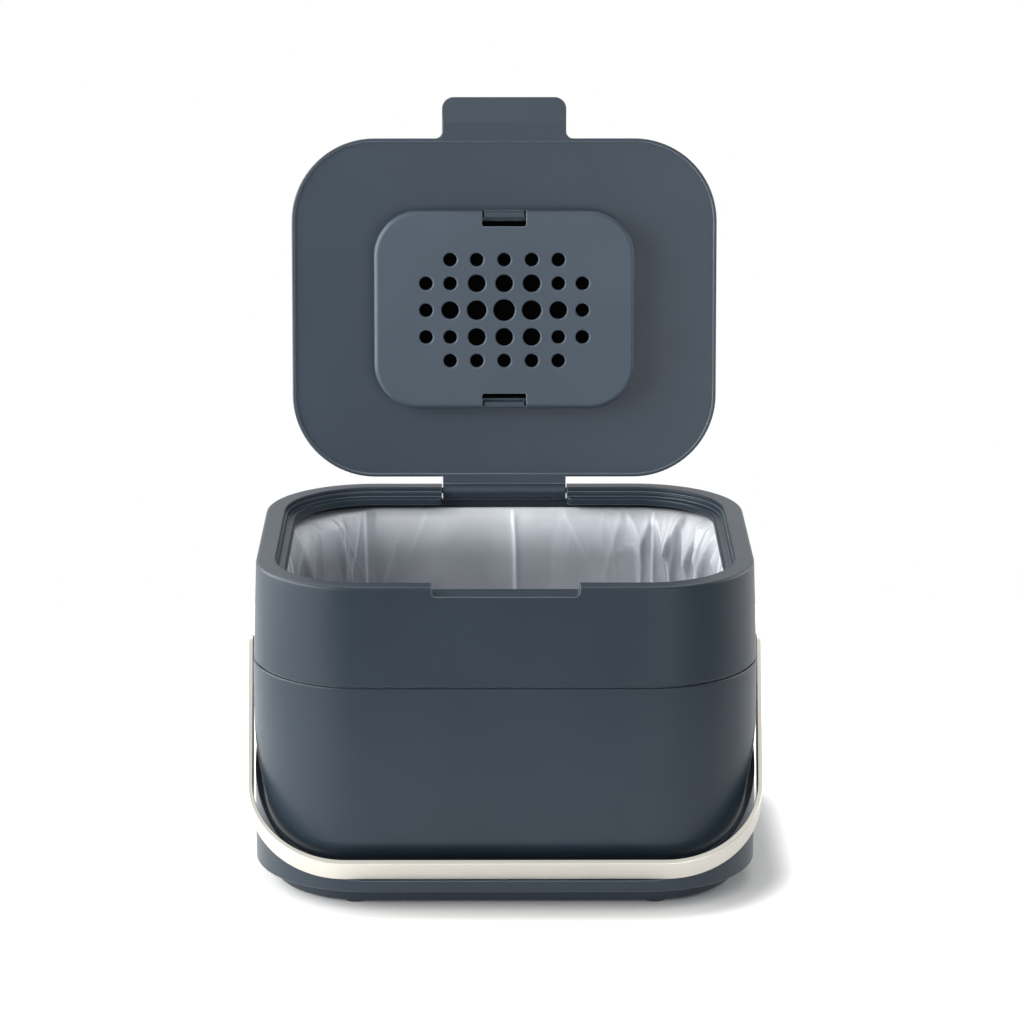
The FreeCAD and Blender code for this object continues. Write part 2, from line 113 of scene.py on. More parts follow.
plasticLook = {
    "ior": 1.49,
    "grainMm": 0.9,  # real spark texture is near 0.15 mm, drawn coarser so that it shows
    "grainDepthMm": 0.02,
    "grainBump": 0.35,
    "grainShare": 0.35,  # how far the pigment follows the grain
    "cloudMm": 70.0,  # slow change of the pigment
    "tintSpan": (0.35, 1.0),  # of the two noises together, from the deep tone to the light one
    "scuffMm": (22.0, 12.0),  # rubbed patches, along the walls and up them
    "scuffSpan": (0.3, 0.75),  # of their noise, from untouched to rubbed
    "rubSmooth": 0.02,  # by which the patches change the roughness, both ways
    "edgeMm": 0.8,  # the mould's rounded edges, in the shading alone
    "edgeSpan": (0.98, 0.82),  # cosine of an edge's turn, from no painted highlight to the full one
    # painted highlight: a light tone mixed in along every rounded edge, in place of the light that edges
    # catch
    "edgeHighlightHex": "#9aa5b1",
    "edgeHighlight": 0.7,  # share of the painted edge highlight, a light tone, along an edge
}

plasticTones = {
    "body": {"deepHex": "#1e2a34", "lightHex": "#27333d", "roughness": 0.4, "gloss": 0.37},
    "lid": {"deepHex": "#2b3742", "lightHex": "#34404b", "roughness": 0.36, "gloss": 0.5},
    "cover": {"deepHex": "#3f4b56", "lightHex": "#495560", "roughness": 0.4, "gloss": 0.4},
    "base": {"deepHex": "#1f2831", "lightHex": "#27303a", "roughness": 0.5, "gloss": 0.3},
}


# Polypropylene, injection moulded on a spark-eroded tool: an even dull sheen with a faint grain,
# a slightly uneven pigment, soft rubbed patches that are a little smoother, and a painted highlight, a
# light tone along every rounded edge.
def mouldedPolypropylene(name, tone, look):
    material, tree = newMaterial(name)
    place = addNode(tree, "ShaderNodeTexCoord", {}, {})
    cloud = addNode(tree, "ShaderNodeTexNoise",
                    {"Scale": perMetre(look["cloudMm"]), "Detail": 3.0, "Roughness": 0.55},
                    {"Vector": place.outputs["Object"]})
    grain = addNode(tree, "ShaderNodeTexNoise",
                    {"Scale": perMetre(look["grainMm"]), "Detail": 2.0, "Roughness": 0.6},
                    {"Vector": place.outputs["Object"]})
    tint = addNode(tree, "ShaderNodeMath", {"operation": "MULTIPLY_ADD", 1: look["grainShare"]},
                   {0: grain.outputs["Fac"], 2: cloud.outputs["Fac"]})
    share = addNode(tree, "ShaderNodeMapRange",
                    {"From Min": look["tintSpan"][0], "From Max": look["tintSpan"][1]},
                    {"Value": tint.outputs[0]})
    colour = addNode(tree, "ShaderNodeMix",
                     {"data_type": "RGBA", 6: linear(tone["deepHex"]), 7: linear(tone["lightHex"])},
                     {"Factor": share.outputs[0]})
    wide, tall = (perMetre(size) for size in look["scuffMm"])
    stretched = addNode(tree, "ShaderNodeMapping", {"Scale": (wide, wide, tall)},
                        {"Vector": place.outputs["Object"]})
    scuff = addNode(tree, "ShaderNodeTexNoise", {"Scale": 1.0, "Detail": 4.0, "Roughness": 0.65},
                    {"Vector": stretched.outputs[0]})
    dull = addNode(tree, "ShaderNodeMapRange",
                   {"From Min": look["scuffSpan"][0], "From Max": look["scuffSpan"][1],
                    "To Min": tone["roughness"] + look["rubSmooth"],
                    "To Max": tone["roughness"] - look["rubSmooth"]},
                   {"Value": scuff.outputs["Fac"]})
    edge = addNode(tree, "ShaderNodeBevel", {"samples": 6, "Radius": look["edgeMm"] * mm}, {})
    face = addNode(tree, "ShaderNodeNewGeometry", {}, {})
    along = addNode(tree, "ShaderNodeVectorMath", {"operation": "DOT_PRODUCT"},
                    {0: edge.outputs[0], 1: face.outputs["Normal"]})
    # Painted highlight: the light tone goes in wherever the rounded-edge normal turns away from the face's
    # normal
    edgeShine = addNode(tree, "ShaderNodeMapRange",
                     {"From Min": look["edgeSpan"][0], "From Max": look["edgeSpan"][1],
                      "To Min": 0.0, "To Max": look["edgeHighlight"]},
                     {"Value": along.outputs["Value"]})
    edgeHighlight = addNode(tree, "ShaderNodeMix", {"data_type": "RGBA", 7: linear(look["edgeHighlightHex"])},
                   {"Factor": edgeShine.outputs[0], 6: colour.outputs[2]})
    bump = addNode(tree, "ShaderNodeBump",
                   {"Strength": look["grainBump"], "Distance": look["grainDepthMm"] * mm},
                   {"Height": grain.outputs["Fac"], "Normal": edge.outputs[0]})
    shader = addNode(tree, "ShaderNodeBsdfPrincipled",
                     {"IOR": look["ior"], "Specular IOR Level": tone["gloss"]},
                     {"Base Color": edgeHighlight.outputs[2], "Roughness": dull.outputs[0],
                      "Normal": bump.outputs[0]})
    addNode(tree, "ShaderNodeOutputMaterial", {}, {"Surface": shader.outputs[0]})
    return material


bodyPlastic = mouldedPolypropylene("graphitePolypropylene", plasticTones["body"], plasticLook)
dress(["bucket", "collar"], bodyPlastic)
dress(["lid"], mouldedPolypropylene("graphitePolypropyleneLid", plasticTones["lid"], plasticLook))
dress(["filter_cover"],
      mouldedPolypropylene("graphitePolypropyleneCover", plasticTones["cover"], plasticLook))
dress(["base_plate"], mouldedPolypropylene("darkPolypropyleneBase", plasticTones["base"], plasticLook))
print("plastics assigned")


# The handle's strap

strapLook = {
    "deepHex": "#cfcbc2", "lightHex": "#e8e4db",
    "restAngle": 37.5,  # tilt of the strap's plane at rest
    "streakMm": 0.35,  # across the strap; real brushing is finer, drawn so that it shows
    "runMm": 60.0,  # along the strap
    "streakDepthMm": 0.02,
    "streakBump": 0.12,
    "roughness": 0.3,
    "smoother": 0.08, "rougher": 0.12,  # by which the streaks change the roughness
}


# Stainless steel strip, brushed along its length: long fine lines that follow the strap round its
# bends, because they change mostly across its width, and a silky highlight.
def brushedStainless(name, look):
    material, tree = newMaterial(name)
    place = addNode(tree, "ShaderNodeTexCoord", {}, {})
    turned = addNode(tree, "ShaderNodeMapping", {"Rotation": (-math.radians(look["restAngle"]), 0, 0)},
                     {"Vector": place.outputs["Object"]})
    along, across = perMetre(look["runMm"]), perMetre(look["streakMm"])
    stretched = addNode(tree, "ShaderNodeMapping", {"Scale": (along, along, across)},
                        {"Vector": turned.outputs[0]})
    streak = addNode(tree, "ShaderNodeTexNoise", {"Scale": 1.0, "Detail": 3.0, "Roughness": 0.7},
                     {"Vector": stretched.outputs[0]})
    dull = addNode(tree, "ShaderNodeMapRange",
                   {"To Min": look["roughness"] - look["smoother"],
                    "To Max": look["roughness"] + look["rougher"]},
                   {"Value": streak.outputs["Fac"]})
    colour = addNode(tree, "ShaderNodeMix",
                     {"data_type": "RGBA", 6: linear(look["deepHex"]), 7: linear(look["lightHex"])},
                     {"Factor": streak.outputs["Fac"]})
    bump = addNode(tree, "ShaderNodeBump",
                   {"Strength": look["streakBump"], "Distance": look["streakDepthMm"] * mm},
                   {"Height": streak.outputs["Fac"]})
    shader = addNode(tree, "ShaderNodeBsdfPrincipled", {"Metallic": 1.0},
                     {"Base Color": colour.outputs[2], "Roughness": dull.outputs[0],
                      "Normal": bump.outputs[0]})
    addNode(tree, "ShaderNodeOutputMaterial", {}, {"Surface": shader.outputs[0]})
    return material


dress(["handle_strap"], brushedStainless("brushedStainlessStrip", strapLook))
print("strap assigned")


# Studs, pin, bushes, feet and filter pad

finishLook = {
    "roughnessSpread": 0.08,
    "grainBump": 0.6,
    "stud": {"deepHex": "#a9a7a2", "lightHex": "#cfccc6", "grainMm": 0.8, "depthMm": 0.02,
             "roughness": 0.32, "metallic": 1.0, "gloss": 0.5},
    "pin": {"deepHex": "#1d1e20", "lightHex": "#2c2d30", "grainMm": 0.6, "depthMm": 0.01,
            "roughness": 0.4, "metallic": 1.0, "gloss": 0.5},
    "bush": {"deepHex": "#14171b", "lightHex": "#22262b", "grainMm": 1.2, "depthMm": 0.02,
             "roughness": 0.42, "metallic": 0.0, "gloss": 0.5},
    "foot": {"deepHex": "#121314", "lightHex": "#202123", "grainMm": 0.8, "depthMm": 0.05,
             "roughness": 0.78, "metallic": 0.0, "gloss": 0.5},
    # painted shade, in part: carbon felt is black, and this near-zero tone also stands in for the shade
    # deep in the cover's holes
    "pad": {"deepHex": "#020202", "lightHex": "#070708", "grainMm": 0.9, "depthMm": 0.5,
            "roughness": 0.95, "metallic": 0.0, "gloss": 0.0},
}


# Turned stainless (bright, its sheen slightly broken), blackened drawn steel (dark, still metallic),
# moulded acetal (waxy black), nitrile rubber (matt, near black) and carbon felt (black, no sheen, its
# near-zero tone also painted shade for the deep holes over it)
# share one build: two tones broken up by a noise of the finish's own grain, with a bump of that grain.
def grainyFinish(name, finish, look):
    material, tree = newMaterial(name)
    place = addNode(tree, "ShaderNodeTexCoord", {}, {})
    grain = addNode(tree, "ShaderNodeTexNoise",
                    {"Scale": perMetre(finish["grainMm"]), "Detail": 4.0, "Roughness": 0.65},
                    {"Vector": place.outputs["Object"]})
    colour = addNode(tree, "ShaderNodeMix",
                     {"data_type": "RGBA", 6: linear(finish["deepHex"]), 7: linear(finish["lightHex"])},
                     {"Factor": grain.outputs["Fac"]})
    dull = addNode(tree, "ShaderNodeMapRange",
                   {"To Min": finish["roughness"] - look["roughnessSpread"],
                    "To Max": finish["roughness"] + look["roughnessSpread"]},
                   {"Value": grain.outputs["Fac"]})
    bump = addNode(tree, "ShaderNodeBump",
                   {"Strength": look["grainBump"], "Distance": finish["depthMm"] * mm},
                   {"Height": grain.outputs["Fac"]})
    shader = addNode(tree, "ShaderNodeBsdfPrincipled",
                     {"Metallic": finish["metallic"], "Specular IOR Level": finish["gloss"]},
                     {"Base Color": colour.outputs[2], "Roughness": dull.outputs[0],
                      "Normal": bump.outputs[0]})
    addNode(tree, "ShaderNodeOutputMaterial", {}, {"Surface": shader.outputs[0]})
    return material


dress(["pivot_stud_left", "pivot_stud_right"],
      grainyFinish("turnedStainlessStud", finishLook["stud"], finishLook))
dress(["hinge_pin"], grainyFinish("blackenedSteelPin", finishLook["pin"], finishLook))
dress(["pivot_bush_left", "pivot_bush_right"],
      grainyFinish("acetalBush", finishLook["bush"], finishLook))
dress([name for name in nodes if name.startswith("foot_")],
      grainyFinish("nitrileRubberFoot", finishLook["foot"], finishLook))
dress(["carbon_filter"], grainyFinish("carbonFeltAndHoleShade", finishLook["pad"], finishLook))
print("small pieces assigned")


# A low dark rib on the collar, under the hinge's barrel, put in as painted shade: it fills the gap between
# the two, so that no background shows where the gap would be in shade

ribForm = {  # millimetres
    "length": 63.0, "thick": 2.2, "height": 1.05,
    "notchFloor": 152.3, "sunk": 0.1,  # its foot goes this far into the notch's floor
    "barrelY": 94.2,
    "round": 0.5, "roundSegments": 3,
}


def makeGapShadeRib(form):
    bpy.ops.object.select_all(action="DESELECT")
    bpy.ops.mesh.primitive_cube_add(size=1.0, location=(0, 0, 0))
    rib = bpy.context.object
    rib.name = "hingeGapShadeRib"
    bpy.ops.object.mode_set(mode="EDIT")
    bpy.ops.mesh.select_all(action="SELECT")
    tall = form["height"] + form["sunk"]
    bpy.ops.transform.resize(value=(form["length"] * mm, form["thick"] * mm, tall * mm))
    bpy.ops.mesh.bevel(offset=form["round"] * mm, segments=form["roundSegments"])
    middle = form["notchFloor"] + (form["height"] - form["sunk"]) / 2
    bpy.ops.transform.translate(value=(0, form["barrelY"] * mm, middle * mm))
    bpy.ops.mesh.normals_make_consistent(inside=False)
    bpy.ops.object.mode_set(mode="OBJECT")
    return rib


rib = makeGapShadeRib(ribForm)
rib.data.materials.append(bodyPlastic)
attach(rib, "collar")
print("seal rib placed")


# The liner: a film bag folded over the bucket's neck, hanging inside the tub

linerForm = {  # millimetres
    "halfX": 113.5, "halfY": 91.5, "corner": 47.0,  # inner edge of the neck
    "neckTop": 148.0, "neckWall": 2.4,
    "hemLength": 20.0, "hemTop": 1.0, "hemGap": 0.5, "hemLean": 0.0414,  # outside the neck
    "foldOver": (  # rise over the neck, way in from its outer face, share of a corner's chord, drop
        (0.35, -0.3, 0.0, None), (0.6, 0.5, 0.0, None), (0.6, 1.8, 0.0, None),
        (0.45, 2.5, 0.3, None), (0.3, 2.65, 0.65, None), (0.1, 2.8, 1.0, 0.0),
    ),
    "wallStart": 0.6, "wallGap": 0.5, "tubDraft": 2.0,  # below the neck's top, off the wall, degrees
    "floor": 13.95, "floorRound": 11.0, "floorSteps": 6,
    "floorRings": (0.86, 0.7, 0.52, 0.34, 0.17, 0.05),  # shares of the floor's outermost ring
    "crumple": 0.9, "crumplePerMetre": 30, "crumpleStep": 4,  # low lumps of the floor
    "settle": 40, "settlePower": 0.7,  # everything flattens over this height above the floor
    "columnStep": 0.8, "rowStep": 2.4,
    "hang": 4.2, "hangReach": 6.5,  # how far the film stands off the wall below its fold
    "corners": {"backLeft": 0.72, "backRight": 0.06,  # share of a straight chord
                "frontLeft": 0.3, "frontRight": 0.3},
    "packFolds": (-372, -298, -222, -148, -72, 5.3, 78.9, 155, 231, 305),  # from the back's middle
    "foldHeight": 1.7, "foldWidth": 0.9,
    "foldWander": 0.5, "wanderReach": 15,  # a fold strays sideways on its way down
    "foldStart": 0.4, "foldGrow": 8,  # share of its height at the top, and the drop that fills it
    "gathers": (  # place along the wall, half width, drop, swell
        (71, 8, 17, 5.0), (87.5, 10, 20, 7.5), (103, 8, 26, 6.0), (119, 9, 30, 6.5),
        (140, 8, 20, 3.5), (-128, 9, 30, 4.0), (-190, 9, 20, 3.5), (205, 9, 22, 3.5),
    ),
    "gatherRound": 0.8, "gatherFade": 5,
    "darts": (  # place along the wall, slant, height, width to the left and right, drop
        (-99, 0.45, 5.5, 10.0, 2.2, 60), (-94, 0.62, 3.0, 3.0, 5.0, 50),
        (-116, 0.1, 4.0, 5.0, 3.0, 60), (110, 0.1, 4.5, 2.0, 6.0, 90),
        (95, -0.12, 4.0, 4.0, 1.6, 90), (60, -0.25, 1.6, 3.0, 6.0, 40),
        (30, 0.5, 0.5, 4.0, 4.0, 30), (-40, -0.4, 0.5, 4.0, 6.0, 26),
    ),
    "dartGrow": 3, "dartCrease": 0.5,
    "swell": 1.5, "swellMm": (34, 60), "swellSeed": 3.1,  # slow waves
    "crinkle": 1.5, "crinkleMm": (24.0, 80.0),  # height and spacing of the fine meandering creases
    "crinkleSlant": 90, "crinkleSeed": 5.3, "crinkleSharp": 0.1, "crinkleGrow": 5,
    "crinkleCrease": 0.6, "creaseSharp": 0.05,
    "finerShare": 0.4, "finerTimes": (2.3, 1.7), "finerSlant": 60,  # a second, closer set of creases
    "finerSeed": 9.1, "finerSharp": 0.12,
    "backCrinkle": 0.07, "backHalf": 48, "backBlend": 36,  # the flat back is smoother than the corners
}


# Each column has the point that its radius starts from, its outward normal, its distance along the
# wall from the back's middle, its share of the way round a corner and that corner's name, if any.
def wallColumns(form):
    flatX, flatY = form["halfX"] - form["corner"], form["halfY"] - form["corner"]
    quarter = form["corner"] * math.pi / 2
    runs = [("", flatX), ("backRight", quarter), ("", 2 * flatY), ("frontRight", quarter), ("", 2 * flatX),
            ("frontLeft", quarter), ("", 2 * flatY), ("backLeft", quarter), ("", flatX)]
    starts = [(0, flatY, 90), (flatX, flatY, 90), (flatX, flatY, 0),
              (flatX, -flatY, 0), (flatX, -flatY, -90), (-flatX, -flatY, -90),
              (-flatX, -flatY, 180), (-flatX, flatY, 180), (-flatX, flatY, 90)]
    total = sum(length for _, length in runs)
    columns, passed = [], 0.0
    for (corner, length), (x, y, facing) in zip(runs, starts):
        count = max(2, round(length / form["columnStep"]))
        for i in range(count):
            share = i / count
            angle = math.radians(facing - (90 * share if corner else 0))
            along = 0 if corner else share * length
            ahead = (math.sin(angle), -math.cos(angle))
            start = (x + ahead[0] * along, y + ahead[1] * along)
            place = passed + share * length
            place = place if place <= total / 2 else place - total
            columns.append((start, (math.cos(angle), math.sin(angle)), place, share, corner))
        passed += length
    return columns


# Each row has its height, the inset of the smooth film, its share of a corner's chord and its drop
# below the fold, which is None where the film has no folds.
def filmRows(form):
    top, outer = form["neckTop"], -form["neckWall"]
    rows = []
    for lowered in (form["hemLength"], form["hemLength"] / 2, form["hemTop"]):
        rows.append((top - lowered, outer - form["hemGap"] - form["hemLean"] * lowered, 0.0, None))
    for rise, inward, chordShare, drop in form["foldOver"]:
        rows.append((top + rise, outer + inward, chordShare, drop))
    draft = math.tan(math.radians(form["tubDraft"]))
    start, end = top - form["wallStart"], form["floor"] + form["floorRound"]
    steps = round((start - end) / form["rowStep"])
    for i in range(steps + 1):
        z = start - (start - end) * i / steps
        rows.append((z, form["wallGap"] + draft * (top - z), 1.0, top - z))
    for i in range(1, form["floorSteps"] + 1):
        angle = math.pi / 2 * i / form["floorSteps"]
        inset = form["wallGap"] + draft * (top - end) + form["floorRound"] * (1 - math.cos(angle))
        rows.append((end - form["floorRound"] * math.sin(angle), inset, 1.0, top - end))
    return rows


def chordDepth(form, share, corner):  # how far the film cuts across a round corner
    if not corner:
        return 0.0
    turn = math.cos(math.pi / 4) / math.cos(math.pi / 2 * share - math.pi / 4)
    return form["corner"] * (1 - turn) * form["corners"][corner]


# How far folds, gathers and crinkles stand in from the smooth film, and how sharp the crease is; the
# crease makes the film whiter, partly as its stress whitening and partly as a painted highlight
def foldsAt(form, place, drop):
    crease = 0.0
    depth = form["hang"] * (1 - math.exp(-drop / form["hangReach"]))
    for at in form["packFolds"]:
        near = abs(place - at - form["foldWander"] * math.sin(drop / form["wanderReach"] + at))
        grown = min(1, form["foldStart"] + drop / form["foldGrow"])
        depth += form["foldHeight"] * math.exp(-near / form["foldWidth"]) * grown
        crease += math.exp(-(near / form["foldWidth"]) ** 2)
    for at, half, reach, swell in form["gathers"]:
        side = 1 - abs(place - at) / half
        if side > 0:
            tip = reach * side
            fade = drop / tip if drop < tip else math.exp((tip - drop) / form["gatherFade"])
            depth += swell * side ** form["gatherRound"] * fade
    for at, slant, height, left, right, reach in form["darts"]:
        off = place - at - slant * drop
        fade = max(0, 1 - drop / reach) * min(1, drop / form["dartGrow"])
        depth += height * math.exp(-abs(off) / (right if off > 0 else left)) * fade
        crease += form["dartCrease"] * math.exp(-(off / form["foldWidth"]) ** 2) * fade
    wide, tall = form["swellMm"]
    depth += form["swell"] * abs(noise.noise(Vector((place / wide, drop / tall, form["swellSeed"]))))
    wide, tall = form["crinkleMm"]
    closer, shorter = form["finerTimes"]
    line = abs(noise.noise(Vector((place / wide + drop / form["crinkleSlant"], drop / tall,
                                   form["crinkleSeed"]))))
    finer = abs(noise.noise(Vector((place / wide * closer - drop / form["finerSlant"],
                                    drop / tall * shorter, form["finerSeed"]))))
    ridge = max(0, 1 - line / form["crinkleSharp"])
    ridge += form["finerShare"] * max(0, 1 - finer / form["finerSharp"])
    flatness = min(1, form["backCrinkle"] + max(0, abs(place) - form["backHalf"]) / form["backBlend"])
    depth += form["crinkle"] * flatness * ridge * min(1, drop / form["crinkleGrow"])
    crease += form["crinkleCrease"] * flatness * max(0, 1 - line / form["creaseSharp"])
    return depth, min(1, crease)


def filmPoints(form, columns, rows):  # points ring by ring down to the floor's middle, and their creases
    points, creases = [], []
    for z, inset, chordShare, drop in rows:
        settle = max(0, min(1, (z - form["floor"]) / form["settle"])) ** form["settlePower"]
        for (x, y), (nx, ny), place, share, corner in columns:
            depth = inset + chordDepth(form, share, corner) * chordShare * settle
            stand, crease = (0, 0) if drop is None else foldsAt(form, place, drop)
            depth += stand * settle
            creases.append(crease * settle)
            radius = form["corner"] - depth
            points.append(((x + nx * radius) * mm, (y + ny * radius) * mm, z * mm))
    lastRing = points[-len(columns):]
    lumps = form["crumplePerMetre"]
    for shrink in form["floorRings"]:
        for x, y, z in lastRing:
            spot = Vector((x * lumps, y * lumps, shrink * form["crumpleStep"]))
            lift = form["crumple"] * abs(noise.noise(spot)) * mm
            points.append((x * shrink, y * shrink, z + lift))
    points.append((0, 0, lastRing[0][2]))
    creases += [0.0] * (len(points) - len(creases))
    return points, creases


def makeLiner(form):
    columns, rows = wallColumns(form), filmRows(form)
    points, creases = filmPoints(form, columns, rows)
    ring = len(columns)
    lastRow = len(rows) + len(form["floorRings"]) - 1
    faces = []
    for row in range(lastRow):
        for i in range(ring):
            j = (i + 1) % ring
            faces.append((row * ring + i, row * ring + j, (row + 1) * ring + j, (row + 1) * ring + i))
    for i in range(ring):
        faces.append((lastRow * ring + i, lastRow * ring + (i + 1) % ring, len(points) - 1))
    mesh = bpy.data.meshes.new("linerFilm")
    mesh.from_pydata(points, [], faces)
    whiterAndHighlit = mesh.attributes.new("crease", "FLOAT", "POINT")
    whiterAndHighlit.data.foreach_set("value", creases)
    film = bpy.data.objects.new("linerFilm", mesh)
    scene.collection.objects.link(film)
    bpy.ops.object.select_all(action="DESELECT")
    bpy.context.view_layer.objects.active = film
    film.select_set(True)
    bpy.ops.object.mode_set(mode="EDIT")
    bpy.ops.mesh.select_all(action="SELECT")
    bpy.ops.mesh.normals_make_consistent(inside=False)
    bpy.ops.object.mode_set(mode="OBJECT")
    bpy.ops.object.shade_smooth()
    print("liner rows", len(rows), "columns", ring)
    return film


filmLook = {
    "ior": 1.51,
    "thinHex": "#d9e1ec", "hemAndHighlightHex": "#f1f4f9",
    "alpha": (0.5, 0.9),  # single film below, more opaque towards the top: doubled along the folded hem, and a painted highlight on the single film just under the fold
    "hemAndHighlightBand": (122.0, 146.0),  # heights between which the one turns into the other
    "milkMm": 30.0, "milkSpan": (0.3, 0.7), "milkCover": (0.88, 1.08),  # uneven milkiness
    "creaseWhiteAndHighlight": 0.4,  # a sharp crease turns the film whiter: partly the film's own stress whitening, partly a painted highlight along the crease lines
    "roughness": 0.24, "roughnessSpread": 0.08,
    "crinkleMm": (6.0, 30.0),  # across and down
    "crinkleDepthMm": 0.6,
    "crinkleBump": 0.5,
}


# Low-density polythene film, blown: milky and see-through over the dark tub behind it, with a soft gloss
# that breaks up along fine crinkles running down the bag.
# It turns whiter towards the top, where its hem doubles it and where a painted highlight stands in for the
# light on its fold, and whiter along sharp creases, partly by stress whitening and partly as a painted
# highlight.
def blownPolythene(name, look):
    material, tree = newMaterial(name)
    place = addNode(tree, "ShaderNodeTexCoord", {}, {})
    split = addNode(tree, "ShaderNodeSeparateXYZ", {}, {0: place.outputs["Object"]})
    wide, tall = (perMetre(size) for size in look["crinkleMm"])
    stretched = addNode(tree, "ShaderNodeMapping", {"Scale": (wide, wide, tall)},
                        {"Vector": place.outputs["Object"]})
    crinkle = addNode(tree, "ShaderNodeTexNoise",
                      {"Scale": 1.0, "Detail": 4.0, "Roughness": 0.55, "Distortion": 0.6},
                      {"Vector": stretched.outputs[0]})
    milk = addNode(tree, "ShaderNodeTexNoise", {"Scale": perMetre(look["milkMm"]), "Detail": 2.0},
                   {"Vector": place.outputs["Object"]})
    low, high = (height * mm for height in look["hemAndHighlightBand"])
    # Painted highlight, in part: whiter and more opaque towards the top, for the doubled hem outside the
    # neck and for the light on the single film just under the fold
    hemAndTopHighlight = addNode(tree, "ShaderNodeMapRange",
                      {"interpolation_type": "SMOOTHSTEP", "From Min": low, "From Max": high,
                       "To Min": look["alpha"][0], "To Max": look["alpha"][1]},
                      {"Value": split.outputs["Z"]})
    patchy = addNode(tree, "ShaderNodeMapRange",
                     {"From Min": look["milkSpan"][0], "From Max": look["milkSpan"][1],
                      "To Min": look["milkCover"][0], "To Max": look["milkCover"][1]},
                     {"Value": milk.outputs["Fac"]})
    crease = addNode(tree, "ShaderNodeAttribute", {"attribute_name": "crease"}, {})
    # Painted highlight, in part: sharp creases make the film whiter and more opaque; the rest is its own
    # stress whitening
    whiterAndHighlit = addNode(tree, "ShaderNodeMath", {"operation": "MULTIPLY_ADD", 1: look["creaseWhiteAndHighlight"]},
                       {0: crease.outputs["Fac"], 2: hemAndTopHighlight.outputs[0]})
    cover = addNode(tree, "ShaderNodeMath", {"operation": "MULTIPLY", "use_clamp": True},
                    {0: whiterAndHighlit.outputs[0], 1: patchy.outputs[0]})
    colour = addNode(tree, "ShaderNodeMix",
                     {"data_type": "RGBA", 6: linear(look["thinHex"]), 7: linear(look["hemAndHighlightHex"])},
                     {"Factor": hemAndTopHighlight.outputs[0]})
    dull = addNode(tree, "ShaderNodeMapRange",
                   {"To Min": look["roughness"] - look["roughnessSpread"],
                    "To Max": look["roughness"] + look["roughnessSpread"]},
                   {"Value": crinkle.outputs["Fac"]})
    bump = addNode(tree, "ShaderNodeBump",
                   {"Strength": look["crinkleBump"], "Distance": look["crinkleDepthMm"] * mm},
                   {"Height": crinkle.outputs["Fac"]})
    shader = addNode(tree, "ShaderNodeBsdfPrincipled", {"IOR": look["ior"]},
                     {"Base Color": colour.outputs[2], "Roughness": dull.outputs[0],
                      "Normal": bump.outputs[0], "Alpha": cover.outputs[0]})
    addNode(tree, "ShaderNodeOutputMaterial", {}, {"Surface": shader.outputs[0]})
    return material


film = makeLiner(linerForm)
film.data.materials.append(blownPolythene("blownPolytheneFilm", filmLook))
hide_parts("liner")
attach(film, "bucket")
print("liner hung")


# Floor and light

studio = {
    "floorHalf": 0.42,  # as large as the picture needs; the world beyond it is as white
    "floorHex": "#f4f4f3",
    "floorLift": (0.0, 1.0),  # added for camera rays, beside the object and away from it
    "liftReach": (0.006, 0.034),  # outside the footprint, where that starts and where it is full
    "footprint": (0.067, 0.045, 0.055),  # half sizes of the corner centres, corner radius
    "floorGloss": 0.32,  # added for glossy rays
    "worldLight": 0.1,
    "worldFront": 0.3,  # seen in the sheen of what faces the camera
    "worldBack": 1.0,
    "sheenSpan": (-0.3, 0.5),  # of a direction's Y, from worldFront to worldBack
    "lamps": [  # name, place, aim, width, height, watts, colour
        ("backTop", (0.0, 1.0, 1.35), (0, 0, 0.15), 1.6, 0.8, 8.0, "#ffffff"),
        ("leftPanel", (-1.0, -0.25, 0.55), (0, -0.25, 0.3), 2.1, 1.1, 40.0, "#ffffff"),
        ("rightPanel", (1.2, 0.4, 0.45), (0, 0, 0.15), 1.1, 0.8, 8.0, "#ffffff"),
        ("frontRight", (0.7, -1.9, 0.3), (0, 0.05, 0.25), 1.1, 0.6, 10.0, "#edf3ff"),
        ("frontHigh", (0.0, -1.7, 1.2), (0, 0, 0.35), 1.2, 0.3, 3.6, "#ffffff"),
        ("zenith", (0.3, -0.05, 1.5), (0.3, -0.05, 0), 1.8, 1.6, 4.5, "#ffffff"),
    ],
}


